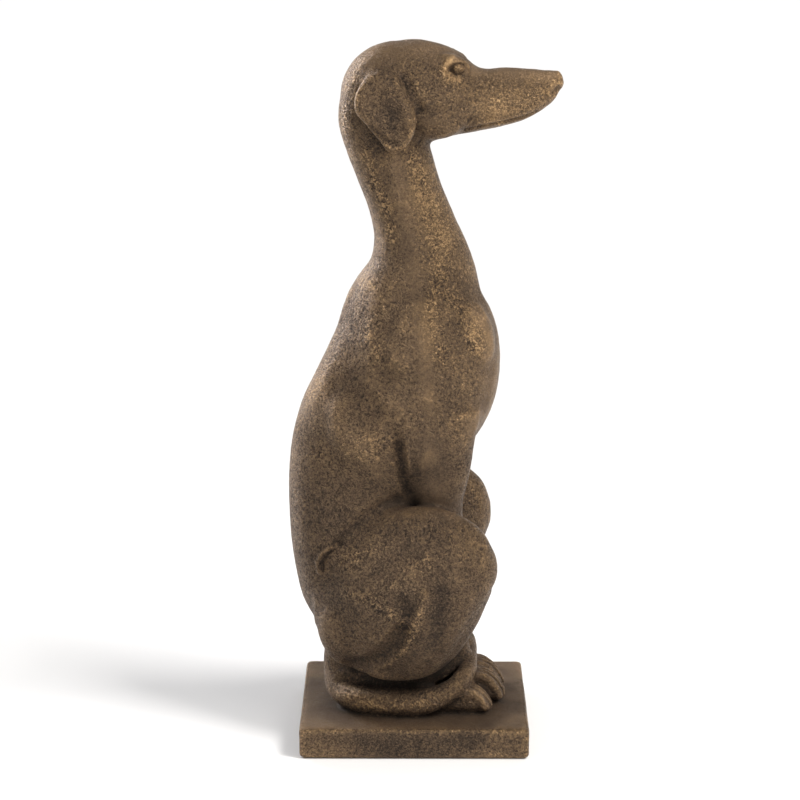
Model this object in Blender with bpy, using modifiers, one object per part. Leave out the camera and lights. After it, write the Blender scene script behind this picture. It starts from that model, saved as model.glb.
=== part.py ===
"""A greyhound seated upright on a thin rectangular plinth, cast in one piece.

The frame: metres, +Z up, +X the way the dog faces, +Y to the dog's left.
The origin is the middle of the plinth's underside.

The figure is blocked out from sweeps and balls, which one voxel remesh joins. The creases where they meet
are then filled as a modeller fills them with clay, and muscles, folds and toes are carved along drawn lines.
"""

import math

import bmesh
import bpy
import numpy as np
from mathutils import Matrix

# The plinth, in metres
PLINTH_LENGTH = 0.257
PLINTH_WIDTH = 0.192
PLINTH_THICKNESS = 0.0365
PLINTH_ROUND = 0.0045
PLINTH_ROUND_STEPS = 2

# The figure, from the plinth's top to the top of the skull
FIGURE_HEIGHT = 0.752

# The figure is drawn in thousandths of its height, with z measured up from the plinth's top
UNIT = FIGURE_HEIGHT / 1000

# How finely the figure is remeshed, and how many triangles are kept of it
VOXEL = 2.6 * UNIT
FIGURE_TRIANGLES = 9300
# Keeps more triangles on the head, the paws and the tail
DETAIL_FACTOR = 0.12
SWEEP_SIDES = 40
STEPS_BETWEEN_ROWS = 5
# How far the clay spreads into a crease, as an area in square figure units
FILL_SPREAD = 266
SETTLE_ROUNDS = 2
# Creases turn from sharp to soft above the feet, and sharper again at the head, between these heights
FEET_END = (75, 160)
HEAD_START = (830, 870)
# Within the head, creases are sharpest beyond this distance out
EARS_START = (42, 50)
# The end of the muzzle stays as sharp as the ears beyond this distance forward
NOSE_START = (172, 190)
HEAD_SHARPNESS = 0.4
EAR_SHARPNESS = 0.8
# What the remesh and the filling take off the trunk
TRUNK_SKIN = 0.5

NEAR = -1
FAR = 1
BOTH_SIDES = (NEAR, FAR)

# Neck and trunk as level sections: height, back, front, half the width, and how much the front is narrower
TRUNK = (
    (915, -107, -20, 34, 0.0),
    (885, -109, 6, 43, 0.0),
    (845, -99, 21, 44, 0.05),
    (799, -82, 35, 42, 0.08),
    (752, -65, 54, 43, 0.10),
    (706, -59, 75, 48, 0.12),
    (682, -65, 84, 53, 0.12),
    (659, -82, 90, 57, 0.12),
    (635, -96, 96, 63, 0.12),
    (611, -105, 109, 69, 0.14),
    (587, -112, 118, 73, 0.16),
    (551, -128, 124, 77, 0.18),
    (514, -146, 124, 79, 0.20),
    (478, -163, 118, 79, 0.22),
    (441, -175, 104, 77, 0.24),
    (415, -181, 88, 75, 0.24),
    (385, -185, 64, 72, 0.15),
    (350, -187, 42, 69, 0.05),
    (300, -187, 32, 71, 0.0),
    (250, -184, 28, 75, 0.0),
    (200, -177, 24, 77, 0.0),
    (160, -167, 18, 73, 0.0),
    (122, -147, 8, 65, 0.0),
    (90, -134, -8, 53, 0.0),
    (70, -127, -24, 42, 0.0),
)

# Skull and muzzle as upright sections: distance forward, top, bottom and half the width
HEAD = (
    (-60, 978, 872, 40),
    (-30, 995, 856, 49),
    (0, 999, 852, 52),
    (30, 994, 857, 49),
    (52, 986, 863, 43),
    (70, 974, 866, 37),
    (86, 961, 869, 33),
    (126, 960, 877, 28),
    (160, 958, 888, 24),
    (184, 956, 903, 20),
    (197, 955, 915, 16),
    (203.5, 954, 927, 13),
    (207.5, 948, 934, 9),
)

# Thigh as upright sections: distance forward, distance out, top, bottom and half the width
THIGH = (
    (-150, 36, 212, 132, 19),
    (-120, 45, 259, 85, 34),
    (-80, 58, 297, 63, 47),
    (-40, 68, 321, 62, 52),
    (0, 78, 332, 61, 52),
    (39, 87, 331, 86, 47),
    (71, 94, 321, 136, 41),
    (92, 97, 307, 172, 33),
    (109, 99, 284, 203, 23),
    (118, 100, 258, 226, 11),
)
FAR_KNEE_RISE = 19

# The folded leg below the knee, down to the heel: forward, out, up, and the radii in and across the side view
SHANK = (
    (72, 94, 222, 45, 31),
    (54, 88, 166, 41, 31),
    (28, 81, 118, 38, 30),
    (2, 77, 92, 33, 26),
    (-28, 74, 80, 25, 22),
    (-56, 73, 75, 15, 20),
    (-69, 70, 71, 7, 12),
)

# What fills the fold between the shank and the foot under it
FOLD = (
    (-112, 30, 44, 16, 12),
    (-88, 36, 46, 20, 16),
    (-40, 40, 52, 26, 18),
    (0, 41, 58, 29, 18),
    (34, 38, 66, 27, 16),
    (58, 32, 84, 22, 12),
)

# The foot that lies on the plinth, from the heel to the roots of the toes
HIND_FOOT = (
    (-62, 52, 28, 22, 12),
    (-40, 54, 22, 22, 15),
    (10, 57, 19, 20, 16),
    (55, 59, 18, 20, 17),
    (80, 60, 18, 20, 18),
    (96, 60, 14, 16, 17),
    (106, 60, 9, 10, 15),
)

# The foreleg from the shoulder to the pastern
FORELEG = (
    (36, 46, 470, 62, 34),
    (37, 48, 430, 52, 33),
    (37, 46, 395, 47, 31),
    (35, 47, 362, 44, 28),
    (37, 45, 335, 37, 25),
    (46, 37, 300, 26, 20),
    (55, 29, 250, 19, 17),
    (59, 25, 180, 17, 16),
    (63, 22, 120, 16, 16),
    (69, 21, 78, 17, 16),
    (78, 21, 42, 20, 17),
)

FRONT_PAW = (
    (72, 21, 24, 22, 13),
    (90, 21, 25, 24, 17),
    (108, 21, 21, 21, 18),
    (122, 21, 14, 14, 17),
    (131, 21, 8, 8, 14),
)

# One toe in the side view, from the instep over and down to the plinth: forward, up and radius
FRONT_TOE = (
    (86, 40, 8.5),
    (105, 44, 7.5),
    (117, 38, 7),
    (127, 26, 6.5),
    (133, 14, 6.5),
    (135, 7, 5.5),
)
HIND_TOE = (
    (74, 31, 8.5),
    (90, 33.5, 7.5),
    (100, 27.5, 7),
    (108, 17.5, 6.5),
    (112.5, 9, 6.5),
    (114, 5.5, 5),
)
# The four toes of a paw: how far each stands to the side, in toe widths, and how far it is set back
TOES = ((-1.5, 5), (-0.5, 0), (0.5, 0), (1.5, 5))
TOE_WIDTH = 9.2

# The tail from the rump, along the plinth on the near side and round in front of the forelegs
TAIL = (
    (-104, 6, 118, 20, 20),
    (-114, 0, 84, 22, 22),
    (-117, -14, 48, 21, 21),
    (-112, -36, 26, 20.5, 20.5),
    (-90, -58, 20, 20, 20),
    (-50, -70, 19.5, 20, 20),
    (-5, -76, 19.5, 19.5, 19.5),
    (18, -77, 22.5, 19, 19),
    (40, -76, 31, 17, 17),
    (60, -72, 43, 15, 15),
    (74, -59, 54, 14, 14),
    (82, -38, 61, 13, 13),
    (84, -10, 67, 12, 12),
    (85, 20, 71, 11.5, 11.5),
    (83, 48, 72, 11, 11),
    (78, 74, 68, 10, 10),
    (70, 92, 50, 9, 9),
    (58, 101, 28, 8.5, 8.5),
    (45, 104, 12, 7.5, 7.5),
    (30, 103, 5, 5.5, 5.5),
)

# Muscle masses as balls: centre, radii, and the turn in the side view in degrees
SHOULDER = ((8, 50, 562), (60, 34, 92), -14)
BREAST = ((66, 36, 578), (48, 34, 66), 18)
ELBOW = ((24, 50, 414), (43, 32, 50), 0)
BUTTOCK = ((-88, 52, 141), (58, 40, 74), 0)
SEAT = ((-80, 18, 60), (46, 26, 62), 0)
RIBS = ((-54, 34, 420), (76, 44, 116), 14)
KNEE = ((84, 98, 249), (37, 33, 50), 12)
FAR_KNEE = ((81, 98, 266), (37, 33, 49), 12)
SKULL = ((-26, 0, 920), (80, 50, 77), 0)
CHEEK = ((24, 27, 896), (48, 20, 34), -8)
BROW = ((54, 28, 969), (25, 13, 12), -24)
EYE = ((61, 35, 960), (11, 8, 8), 0)
NOSE = ((198, 0, 938), (12, 12, 12), 0)

# The folded ear as level sections: height, back, front, distance out and half the thickness
EAR = (
    (964, -46, -27, 36, 6),
    (955, -66, -21, 42, 9),
    (940, -79, -16, 49, 10),
    (922, -86, -8, 54, 10),
    (904, -84, 1, 56, 9),
    (886, -69, 2, 58, 9),
    (868, -54, -4, 58, 8),
    (853, -42, -15, 57, 7),
    (846, -35, -24, 56, 4),
)

# Lines carved or raised on both flanks, drawn in the side view: points, width, and height (a groove is below 0)
FLANK_LINES = (
    # Over the thigh
    (((-26, 338), (-44, 331), (-64, 319), (-88, 299), (-114, 275)), 13, -3),
    # Behind the upper arm, and up towards the shoulder
    (((-25, 440), (-23, 422), (-20, 402)), 13, -1.5),
    (((-23, 426), (-21, 405), (-17, 378), (-13, 360), (-10, 350)), 11, -4),
    (((-62, 478), (-40, 452), (-32, 420), (-26, 370)), 34, -2),
    # At the base of the neck, and behind the shoulder
    (((42, 666), (66, 649), (90, 628)), 26, -3),
    (((-89, 629), (-95, 591), (-100, 550), (-98, 512), (-76, 470)), 40, -4),
    # Between the thigh and the shank
    (((-13, 182), (-12, 190), (-16, 202)), 14, -2),
    (((-94, 80), (-70, 92), (-52, 106), (-36, 124), (-24, 142), (-17, 156)), 19, -6.5),
    (((38, 228), (37, 192), (33, 160), (27, 129)), 17, -1.5),
    (((-4, 272), (-40, 247), (-71, 209)), 26, -2),
    # The ridge that runs down the neck into the shoulder, and soft swellings of the flank
    (((-38, 836), (-23, 800), (-11, 765), (-3, 727), (4, 690), (12, 640), (20, 590), (22, 500)), 24, 2.5),
    (((-58, 582), (-28, 552)), 30, 2),
    (((-142, 490), (-128, 450), (-116, 414)), 34, 1.5),
    # The edge of the shank
    (((14, 216), (8, 192), (1, 160), (-14, 124), (-36, 98), (-58, 82)), 12, 3),
    # The mouth
    (((74, 875), (98, 880), (126, 886), (154, 893), (173, 900), (186, 909)), 5, -2.5),
)
EAR_HOLLOW = (((-44, 915), (-30, 893), (-28, 872)), 20, -6)
# The groove round the eye: its centre and half sizes in the side view, its width as a share of them, and its depth
EYE_RING = ((61, 962), (15, 10), 0.5, -3.5)


def clear_scene():
    for old in list(bpy.data.objects):
        bpy.data.objects.remove(old, do_unlink=True)


def new_collection(name):
    made = bpy.data.collections.new(name)
    bpy.context.scene.collection.children.link(made)
    return made


def smooth_rows(rows):
    """The rows of a table with smooth steps added between them, spaced by the distance between their centres."""
    rows = np.array(rows, float)
    gaps = np.linalg.norm(np.diff(rows[:, :3], axis=0), axis=1)
    at = np.concatenate([[0.0], np.cumsum(gaps)])
    slopes = np.gradient(rows, at, axis=0)
    made = []
    for i, gap in enumerate(gaps):
        for t in np.arange(STEPS_BETWEEN_ROWS) / STEPS_BETWEEN_ROWS:
            start = (2 * t**3 - 3 * t**2 + 1) * rows[i] + (t**3 - 2 * t**2 + t) * gap * slopes[i]
            end = (3 * t**2 - 2 * t**3) * rows[i + 1] + (t**3 - t**2) * gap * slopes[i + 1]
            made.append(start + end)
    return np.array(made + [rows[-1]])


def add_sweep(block, rows, axis=None):
    """Adds a closed tube of oval rings. A row is x, y, z, the radius in the side view, the radius across it,
    and how much narrower the ring's front is. Rings stand square to the path, or all square to axis."""
    rows = smooth_rows(rows)
    centres = rows[:, :3]
    ahead = np.gradient(centres, axis=0)
    if axis is not None:
        ahead[:] = axis
    ahead /= np.linalg.norm(ahead, axis=1, keepdims=True)
    across = np.array([0.0, 1.0, 0.0])
    turn = np.linspace(0, 2 * math.pi, SWEEP_SIDES, endpoint=False)
    rings = []
    for row, way in zip(rows, ahead):
        across = across - way * (across @ way)
        across /= np.linalg.norm(across)
        lift = np.cross(across, way)
        narrow = 1 - (row[5] if len(row) > 5 else 0) * np.cos(turn)
        ring = row[:3] + np.outer(np.cos(turn) * row[3], lift) + np.outer(np.sin(turn) * row[4] * narrow, across)
        rings.append([block.verts.new(point) for point in ring])
    for below, above in zip(rings, rings[1:]):
        for i in range(SWEEP_SIDES):
            j = (i + 1) % SWEEP_SIDES
            block.faces.new((below[i], below[j], above[j], above[i]))
    block.faces.new(rings[0][::-1])
    block.faces.new(rings[-1])


def add_ball(block, ball, side):
    """Adds an ellipsoid. Its turn is about the side view's axis, seen from the near side."""
    (x, y, z), radii, turn = ball
    place = Matrix.Translation((x, side * y, z)) @ Matrix.Rotation(math.radians(-turn), 4, "Y")
    place = place @ Matrix.Diagonal((*radii, 1))
    bmesh.ops.create_uvsphere(block, u_segments=SWEEP_SIDES, v_segments=SWEEP_SIDES // 2, radius=1, matrix=place)


def mirrored(rows, side):
    return [(row[0], side * row[1], *row[2:]) for row in rows]


def trunk_rows():
    rows = []
    for z, back, front, wide, keel in TRUNK:
        rows.append(((back + front) / 2, 0, z, (front - back) / 2 + TRUNK_SKIN, wide + TRUNK_SKIN, keel))
    return rows


def head_rows():
    return [(x, 0, (top + bottom) / 2, (top - bottom) / 2, wide) for x, top, bottom, wide in HEAD]


def thigh_rows(side):
    """The far knee stands a little higher than the near one."""
    rows = []
    for x, out, top, low, wide in THIGH:
        rise = FAR_KNEE_RISE * smoothstep(-60, 60, x) if side == FAR else 0
        rows.append((x, side * out, (top + low) / 2 + rise, (top - low) / 2, wide))
    return rows


def ear_rows(side):
    return [((back + front) / 2, side * out, z, (front - back) / 2, thick) for z, back, front, out, thick in EAR]


def toe_rows(toe, middle, side):
    """The four toes of one paw."""
    paw = []
    for across, back in TOES:
        y = side * (middle + across * TOE_WIDTH)
        paw.append([(x - back, y, z, radius, min(radius, 0.6 * TOE_WIDTH)) for x, z, radius in toe])
    return paw


def block_out():
    """The whole dog as overlapping closed masses, in figure units."""
    block = bmesh.new()
    add_sweep(block, trunk_rows(), axis=(0, 0, -1))
    add_sweep(block, head_rows(), axis=(1, 0, 0))
    add_sweep(block, TAIL)
    add_ball(block, SKULL, FAR)
    add_ball(block, NOSE, FAR)
    for side in BOTH_SIDES:
        add_sweep(block, thigh_rows(side), axis=(1, 0, 0))
        add_sweep(block, ear_rows(side), axis=(0, 0, -1))
        for limb in (SHANK, FOLD, HIND_FOOT, FORELEG, FRONT_PAW):
            add_sweep(block, mirrored(limb, side))
        for toe, paw in ((FRONT_TOE, FRONT_PAW), (HIND_TOE, HIND_FOOT)):
            for rows in toe_rows(toe, paw[-1][1], side):
                add_sweep(block, rows)
        knee = KNEE if side == NEAR else FAR_KNEE
        for ball in (SHOULDER, BREAST, ELBOW, BUTTOCK, SEAT, RIBS, knee, CHEEK, BROW, EYE):
            add_ball(block, ball, side)
    bmesh.ops.recalc_face_normals(block, faces=block.faces)
    return block


def apply_modifiers(obj):
    graph = bpy.context.evaluated_depsgraph_get()
    mesh = bpy.data.meshes.new_from_object(obj.evaluated_get(graph))
    obj.modifiers.clear()
    obj.data = mesh


def points_of(mesh):
    points = np.empty(len(mesh.vertices) * 3)
    mesh.vertices.foreach_get("co", points)
    return points.reshape(-1, 3)


def normals_of(mesh):
    normals = np.empty(len(mesh.vertices) * 3)
    mesh.vertices.foreach_get("normal", normals)
    return normals.reshape(-1, 3)


def set_points(mesh, points):
    mesh.vertices.foreach_set("co", points.ravel())
    mesh.update()


def smoothstep(low, high, value):
    t = np.clip((value - low) / (high - low), 0, 1)
    return t * t * (3 - 2 * t)


def neighbour_steps(points, edges):
    """From each point to the middle of its neighbours."""
    count = len(points)
    ends = np.concatenate([edges[:, 0], edges[:, 1]])
    others = np.concatenate([edges[:, 1], edges[:, 0]])
    total = np.stack([np.bincount(ends, points[others, k], count) for k in range(3)], axis=1)
    return total / np.bincount(ends, minlength=count)[:, None] - points


def edges_of(mesh):
    edges = np.empty(len(mesh.edges) * 2, np.int32)
    mesh.edges.foreach_get("vertices", edges)
    return edges.reshape(-1, 2)


def fill_creases(mesh):
    """Fills hollow creases between the masses and leaves round forms nearly as they are."""
    edges = edges_of(mesh)
    for _ in range(round(FILL_SPREAD / (VOXEL / UNIT) ** 2)):
        points = points_of(mesh)
        step = neighbour_steps(points, edges)
        outward = np.einsum("ij,ij->i", step, normals_of(mesh)) > 0
        crisp = np.maximum(smoothstep(*EARS_START, np.abs(points[:, 1])), smoothstep(*NOSE_START, points[:, 0]))
        sharp = HEAD_SHARPNESS + (EAR_SHARPNESS - HEAD_SHARPNESS) * crisp
        soft = smoothstep(*FEET_END, points[:, 2]) * (1 - sharp * smoothstep(*HEAD_START, points[:, 2]))
        amount = np.where(outward, 0.1 + 0.65 * soft, 0.05 + 0.1 * soft)
        set_points(mesh, points + amount[:, None] * step)


def distance_to_line(points, line):
    """The distance from each point to a line of straight runs, in whatever plane both are given."""
    line = np.array(line, float)
    nearest = np.full(len(points), np.inf)
    for start, end in zip(line, line[1:]):
        run = end - start
        t = np.clip((points - start) @ run / (run @ run), 0, 1)
        nearest = np.minimum(nearest, np.linalg.norm(points - start - t[:, None] * run, axis=1))
    return nearest


def bump(distance, width):
    """1 on the line, falling smoothly to 0 at width."""
    return (1 - np.clip(distance / width, 0, 1) ** 2) ** 2


def carve(mesh):
    """Moves the surface along its normals, out for a ridge and in for a groove."""
    points = points_of(mesh)
    normals = normals_of(mesh)
    height = np.zeros(len(points))
    flank = smoothstep(0.1, 0.45, np.abs(normals[:, 1]))
    for line, width, amount in FLANK_LINES:
        height += amount * flank * bump(distance_to_line(points[:, [0, 2]], line), width)
    centre, sizes, width, amount = EYE_RING
    from_eye = np.linalg.norm((points[:, [0, 2]] - centre) / sizes, axis=1)
    height += amount * flank * bump(np.abs(from_eye - 1), width)
    line, width, amount = EAR_HOLLOW
    ear_face = smoothstep(0.5, 0.8, np.abs(normals[:, 1])) * smoothstep(50, 56, np.abs(points[:, 1]))
    height += amount * ear_face * bump(distance_to_line(points[:, [0, 2]], line), width)
    set_points(mesh, points + height[:, None] * normals)


def settle(mesh):
    """Takes the remesh's small steps off the surface."""
    edges = edges_of(mesh)
    for _ in range(SETTLE_ROUNDS):
        points = points_of(mesh)
        set_points(mesh, points + 0.3 * neighbour_steps(points, edges))


def mark_plain_surface(figure):
    """A vertex group that is 1 on the plain body, which can lose the most triangles."""
    points = points_of(figure.data)
    head = smoothstep(*HEAD_START, points[:, 2])
    feet = 1 - smoothstep(*FEET_END, points[:, 2])
    plain = 1 - 0.5 * np.maximum(head, feet)
    group = figure.vertex_groups.new(name="plain surface")
    for index, weight in enumerate(plain):
        group.add((index,), float(weight), "REPLACE")
    return group


def bronze_patina():
    material = bpy.data.materials.new("antique bronze patina")
    material.use_nodes = True
    shader = material.node_tree.nodes["Principled BSDF"]
    shader.inputs["Base Color"].default_value = (0.16, 0.105, 0.062, 1)
    shader.inputs["Roughness"].default_value = 0.48
    shader.inputs["Metallic"].default_value = 0.6
    return material


def make_plinth(collection):
    bpy.ops.mesh.primitive_cube_add(size=1, location=(0, 0, PLINTH_THICKNESS / 2))
    plinth = bpy.context.object
    plinth.data.transform(Matrix.Diagonal((PLINTH_LENGTH, PLINTH_WIDTH, PLINTH_THICKNESS, 1)))
    bevel = plinth.modifiers.new("worn edges", "BEVEL")
    bevel.width = min(PLINTH_ROUND, 0.3 * PLINTH_THICKNESS)
    bevel.segments = PLINTH_ROUND_STEPS
    apply_modifiers(plinth)
    for old in list(plinth.users_collection):
        old.objects.unlink(plinth)
    collection.objects.link(plinth)
    return plinth


def make_figure(collection):
    mesh = bpy.data.meshes.new("greyhound")
    block = block_out()
    block.to_mesh(mesh)
    block.free()
    figure = bpy.data.objects.new("greyhound_figure", mesh)
    collection.objects.link(figure)
    remesh = figure.modifiers.new("one skin", "REMESH")
    remesh.mode = "VOXEL"
    remesh.voxel_size = VOXEL / UNIT
    apply_modifiers(figure)
    fill_creases(figure.data)
    carve(figure.data)
    settle(figure.data)
    thin = figure.modifiers.new("fewer faces", "DECIMATE")
    figure.data.calc_loop_triangles()
    thin.ratio = FIGURE_TRIANGLES / len(figure.data.loop_triangles)
    thin.use_collapse_triangulate = True
    thin.vertex_group = mark_plain_surface(figure).name
    thin.vertex_group_factor = DETAIL_FACTOR
    apply_modifiers(figure)
    figure.data.transform(Matrix.Translation((0, 0, PLINTH_THICKNESS)) @ Matrix.Scale(UNIT, 4))
    return figure


def main():
    clear_scene()
    casting = new_collection("greyhound statue")
    helpers = new_collection("joined pieces")
    statue = make_plinth(casting)
    statue.name = "greyhound_statue"
    figure = make_figure(helpers)
    figure.display_type = "WIRE"
    figure.hide_render = True
    join = statue.modifiers.new("figure", "BOOLEAN")
    join.operation = "UNION"
    join.object = figure
    statue.data.materials.append(bronze_patina())
    return statue


main()
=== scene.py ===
"""The greyhound statue as it looks: a pitted casting with a worn bronze patina, on a pale floor.

The figure is shaped as its solid is, from sweeps and balls joined by one voxel remesh, but at a finer grain
and together with its plinth. Eyes, nose, mouth, ears, folds and the casting's unevenness are then carved in.
The figure's lengths are in thousandths of its height, with z measured up from the plinth's top.
"""

import math

import bmesh
import bpy
import numpy as np
from mathutils import Matrix, Vector, kdtree, noise
from mathutils.bvhtree import BVHTree


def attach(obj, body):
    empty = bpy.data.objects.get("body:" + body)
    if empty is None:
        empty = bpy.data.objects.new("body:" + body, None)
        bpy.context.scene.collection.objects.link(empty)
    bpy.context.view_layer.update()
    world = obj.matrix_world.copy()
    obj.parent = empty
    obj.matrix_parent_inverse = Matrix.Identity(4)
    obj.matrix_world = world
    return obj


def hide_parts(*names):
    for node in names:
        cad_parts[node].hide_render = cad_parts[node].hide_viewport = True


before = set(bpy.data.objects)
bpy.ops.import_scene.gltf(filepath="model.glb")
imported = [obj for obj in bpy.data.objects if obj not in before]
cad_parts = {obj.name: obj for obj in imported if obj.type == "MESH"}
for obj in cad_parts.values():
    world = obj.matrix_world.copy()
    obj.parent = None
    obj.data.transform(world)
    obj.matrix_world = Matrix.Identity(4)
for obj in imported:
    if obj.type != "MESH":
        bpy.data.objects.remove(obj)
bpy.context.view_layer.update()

NODE = "greyhound_statue"

# The plinth, in metres
PLINTH_LENGTH = 0.257
PLINTH_WIDTH = 0.192
PLINTH_THICKNESS = 0.0365
PLINTH_ROUND = 0.0045
PLINTH_ROUND_STEPS = 5

FIGURE_HEIGHT = 0.752
UNIT = FIGURE_HEIGHT / 1000

# How finely the figure is shaped, and how many triangles are kept
VOXEL = 2.3
SWEEP_SIDES = 48
STEPS_BETWEEN_ROWS = 6
# How far the clay spreads into a crease, as an area in square figure units
FILL_SPREAD = 266
# How far a hollow and a crest move towards their neighbours' middle in a round: where creases stay sharp,
# and what is added where they are soft
HOLLOW_FILL = (0.1, 0.65)
CREST_FILL = (0.05, 0.1)
# The plinth keeps its shape below these heights
PLINTH_KEPT = (-6, -1)
SETTLE_ROUNDS = 2
SETTLE_AMOUNT = 0.3
MOST_TRIANGLES = 190000
# Keeps more triangles on the head, the paws and the tail
DETAIL_FACTOR = 0.02
DETAIL_SHARE = 0.5
FEET_START = (-4, 2)
# What the remesh and the filling take off the trunk
TRUNK_SKIN = 0.5
# Points this near the underside are put on it, and carving comes in between these heights above it
FLAT_WITHIN = 0.8
UNCARVED = (1, 6)
# Creases turn from sharp to soft above the feet, and sharper again at the head, between these heights
FEET_END = (75, 160)
HEAD_START = (830, 870)
# Within the head, creases are sharpest beyond this distance out
EARS_START = (42, 50)
# The end of the muzzle stays as sharp as the ears beyond this distance forward
NOSE_START = (172, 190)
HEAD_SHARPNESS = 0.4
EAR_SHARPNESS = 0.8

NEAR = -1
FAR = 1
BOTH_SIDES = (NEAR, FAR)

# Neck and trunk as level sections: height, back, front, half the width, and how much the front is narrower
TRUNK = (
    (915, -107, -20, 34, 0.0),
    (885, -109, 6, 43, 0.0),
    (845, -99, 21, 44, 0.05),
    (799, -82, 35, 42, 0.08),
    (752, -65, 54, 43, 0.10),
    (706, -59, 75, 48, 0.12),
    (682, -65, 84, 53, 0.12),
    (659, -82, 90, 57, 0.12),
    (635, -96, 96, 63, 0.12),
    (611, -105, 109, 69, 0.14),
    (587, -112, 118, 73, 0.16),
    (551, -128, 124, 77, 0.18),
    (514, -146, 124, 79, 0.20),
    (478, -163, 118, 79, 0.22),
    (441, -175, 104, 77, 0.24),
    (415, -181, 88, 75, 0.24),
    (385, -185, 64, 72, 0.15),
    (350, -187, 42, 69, 0.05),
    (300, -187, 32, 71, 0.0),
    (250, -184, 28, 75, 0.0),
    (200, -177, 24, 77, 0.0),
    (160, -167, 18, 73, 0.0),
    (122, -147, 8, 65, 0.0),
    (90, -134, -8, 53, 0.0),
    (70, -127, -24, 42, 0.0),
)

# Skull and muzzle as upright sections: distance forward, top, bottom and half the width
HEAD = (
    (-60, 978, 872, 40),
    (-30, 995, 856, 49),
    (0, 999, 852, 52),
    (30, 994, 857, 49),
    (52, 986, 863, 43),
    (70, 974, 866, 37),
    (86, 961, 869, 33),
    (126, 960, 877, 28),
    (160, 958, 888, 24),
    (184, 956, 903, 20),
    (197, 955, 915, 16),
    (203.5, 954, 927, 13),
    (207.5, 948, 934, 9),
)

# Thigh as upright sections: distance forward, distance out, top, bottom and half the width
THIGH = (
    (-150, 36, 212, 132, 19),
    (-120, 45, 259, 85, 34),
    (-80, 58, 297, 63, 47),
    (-40, 68, 321, 62, 52),
    (0, 78, 332, 61, 52),
    (39, 87, 331, 86, 47),
    (71, 94, 321, 136, 41),
    (92, 97, 307, 172, 33),
    (109, 99, 284, 203, 23),
    (118, 100, 258, 226, 11),
)
# The far knee's rise, and the distances forward between which it comes in
FAR_KNEE_RISE = 19
FAR_KNEE_REACH = (-60, 60)

# The folded leg below the knee, down to the heel: forward, out, up, and the radii in and across the side view
SHANK = (
    (72, 94, 222, 45, 31),
    (54, 88, 166, 41, 31),
    (28, 81, 118, 38, 30),
    (2, 77, 92, 33, 26),
    (-28, 74, 80, 25, 22),
    (-56, 73, 75, 15, 20),
    (-69, 70, 71, 7, 12),
)

# What fills the fold between the shank and the foot under it
FOLD = (
    (-112, 30, 44, 16, 12),
    (-88, 36, 46, 20, 16),
    (-40, 40, 52, 26, 18),
    (0, 41, 58, 29, 18),
    (34, 38, 66, 27, 16),
    (58, 32, 84, 22, 12),
)

# The foot that lies on the plinth, from the heel to the roots of the toes
HIND_FOOT = (
    (-62, 52, 28, 22, 12),
    (-40, 54, 22, 22, 15),
    (10, 57, 19, 20, 16),
    (55, 59, 18, 20, 17),
    (80, 60, 18, 20, 18),
    (96, 60, 14, 16, 17),
    (106, 60, 9, 10, 15),
)

# The foreleg from the shoulder to the pastern
FORELEG = (
    (36, 46, 470, 62, 34),
    (37, 48, 430, 52, 33),
    (37, 46, 395, 47, 31),
    (35, 47, 362, 44, 28),
    (37, 45, 335, 37, 25),
    (46, 37, 300, 26, 20),
    (55, 29, 250, 19, 17),
    (59, 25, 180, 17, 16),
    (63, 22, 120, 16, 16),
    (69, 21, 78, 17, 16),
    (78, 21, 42, 20, 17),
)

FRONT_PAW = (
    (72, 21, 24, 22, 13),
    (90, 21, 25, 24, 17),
    (108, 21, 21, 21, 18),
    (122, 21, 14, 14, 17),
    (131, 21, 8, 8, 14),
)

# One toe in the side view, from the instep over and down to the plinth: forward, up and radius
FRONT_TOE = (
    (86, 40, 8.5),
    (105, 44, 7.5),
    (117, 38, 7),
    (127, 26, 6.5),
    (133, 14, 6.5),
    (135, 7, 5.5),
)
HIND_TOE = (
    (74, 31, 8.5),
    (90, 33.5, 7.5),
    (100, 27.5, 7),
    (108, 17.5, 6.5),
    (112.5, 9, 6.5),
    (114, 5.5, 5),
)
# The four toes of a paw: how far each stands to the side, in toe widths, and how far it is set back
TOES = ((-1.5, 5), (-0.5, 0), (0.5, 0), (1.5, 5))
TOE_WIDTH = 9.2
TOE_MOST_RADIUS = 0.6 * TOE_WIDTH

# The tail from the rump, along the plinth on the near side and round in front of the forelegs
TAIL = (
    (-104, 6, 118, 20, 20),
    (-114, 0, 84, 22, 22),
    (-117, -14, 48, 21, 21),
    (-112, -36, 26, 20.5, 20.5),
    (-90, -58, 20, 20, 20),
    (-50, -70, 19.5, 20, 20),
    (-5, -76, 19.5, 19.5, 19.5),
    (18, -77, 22.5, 19, 19),
    (40, -76, 31, 17, 17),
    (60, -72, 43, 15, 15),
    (74, -59, 54, 14, 14),
    (82, -38, 61, 13, 13),
    (84, -10, 67, 12, 12),
    (85, 20, 71, 11.5, 11.5),
    (83, 48, 72, 11, 11),
    (78, 74, 68, 10, 10),
    (70, 92, 50, 9, 9),
    (58, 101, 28, 8.5, 8.5),
    (45, 104, 12, 7.5, 7.5),
    (30, 103, 5, 5.5, 5.5),
)

# Muscle masses as balls: centre, radii, and the turn in the side view in degrees
SHOULDER = ((8, 50, 562), (60, 34, 92), -14)
BREAST = ((66, 36, 578), (48, 34, 66), 18)
ELBOW = ((24, 50, 414), (43, 32, 50), 0)
BUTTOCK = ((-88, 52, 141), (58, 40, 74), 0)
SEAT = ((-80, 18, 60), (46, 26, 62), 0)
RIBS = ((-54, 34, 420), (76, 44, 116), 14)
KNEE = ((84, 98, 249), (37, 33, 50), 12)
FAR_KNEE = ((81, 98, 266), (37, 33, 49), 12)
SKULL = ((-26, 0, 920), (80, 50, 77), 0)
CHEEK = ((24, 27, 896), (48, 20, 34), -8)
BROW = ((54, 28, 969), (25, 13, 12), -24)
NOSE = ((198, 0, 938), (12, 12, 12), 0)

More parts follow.
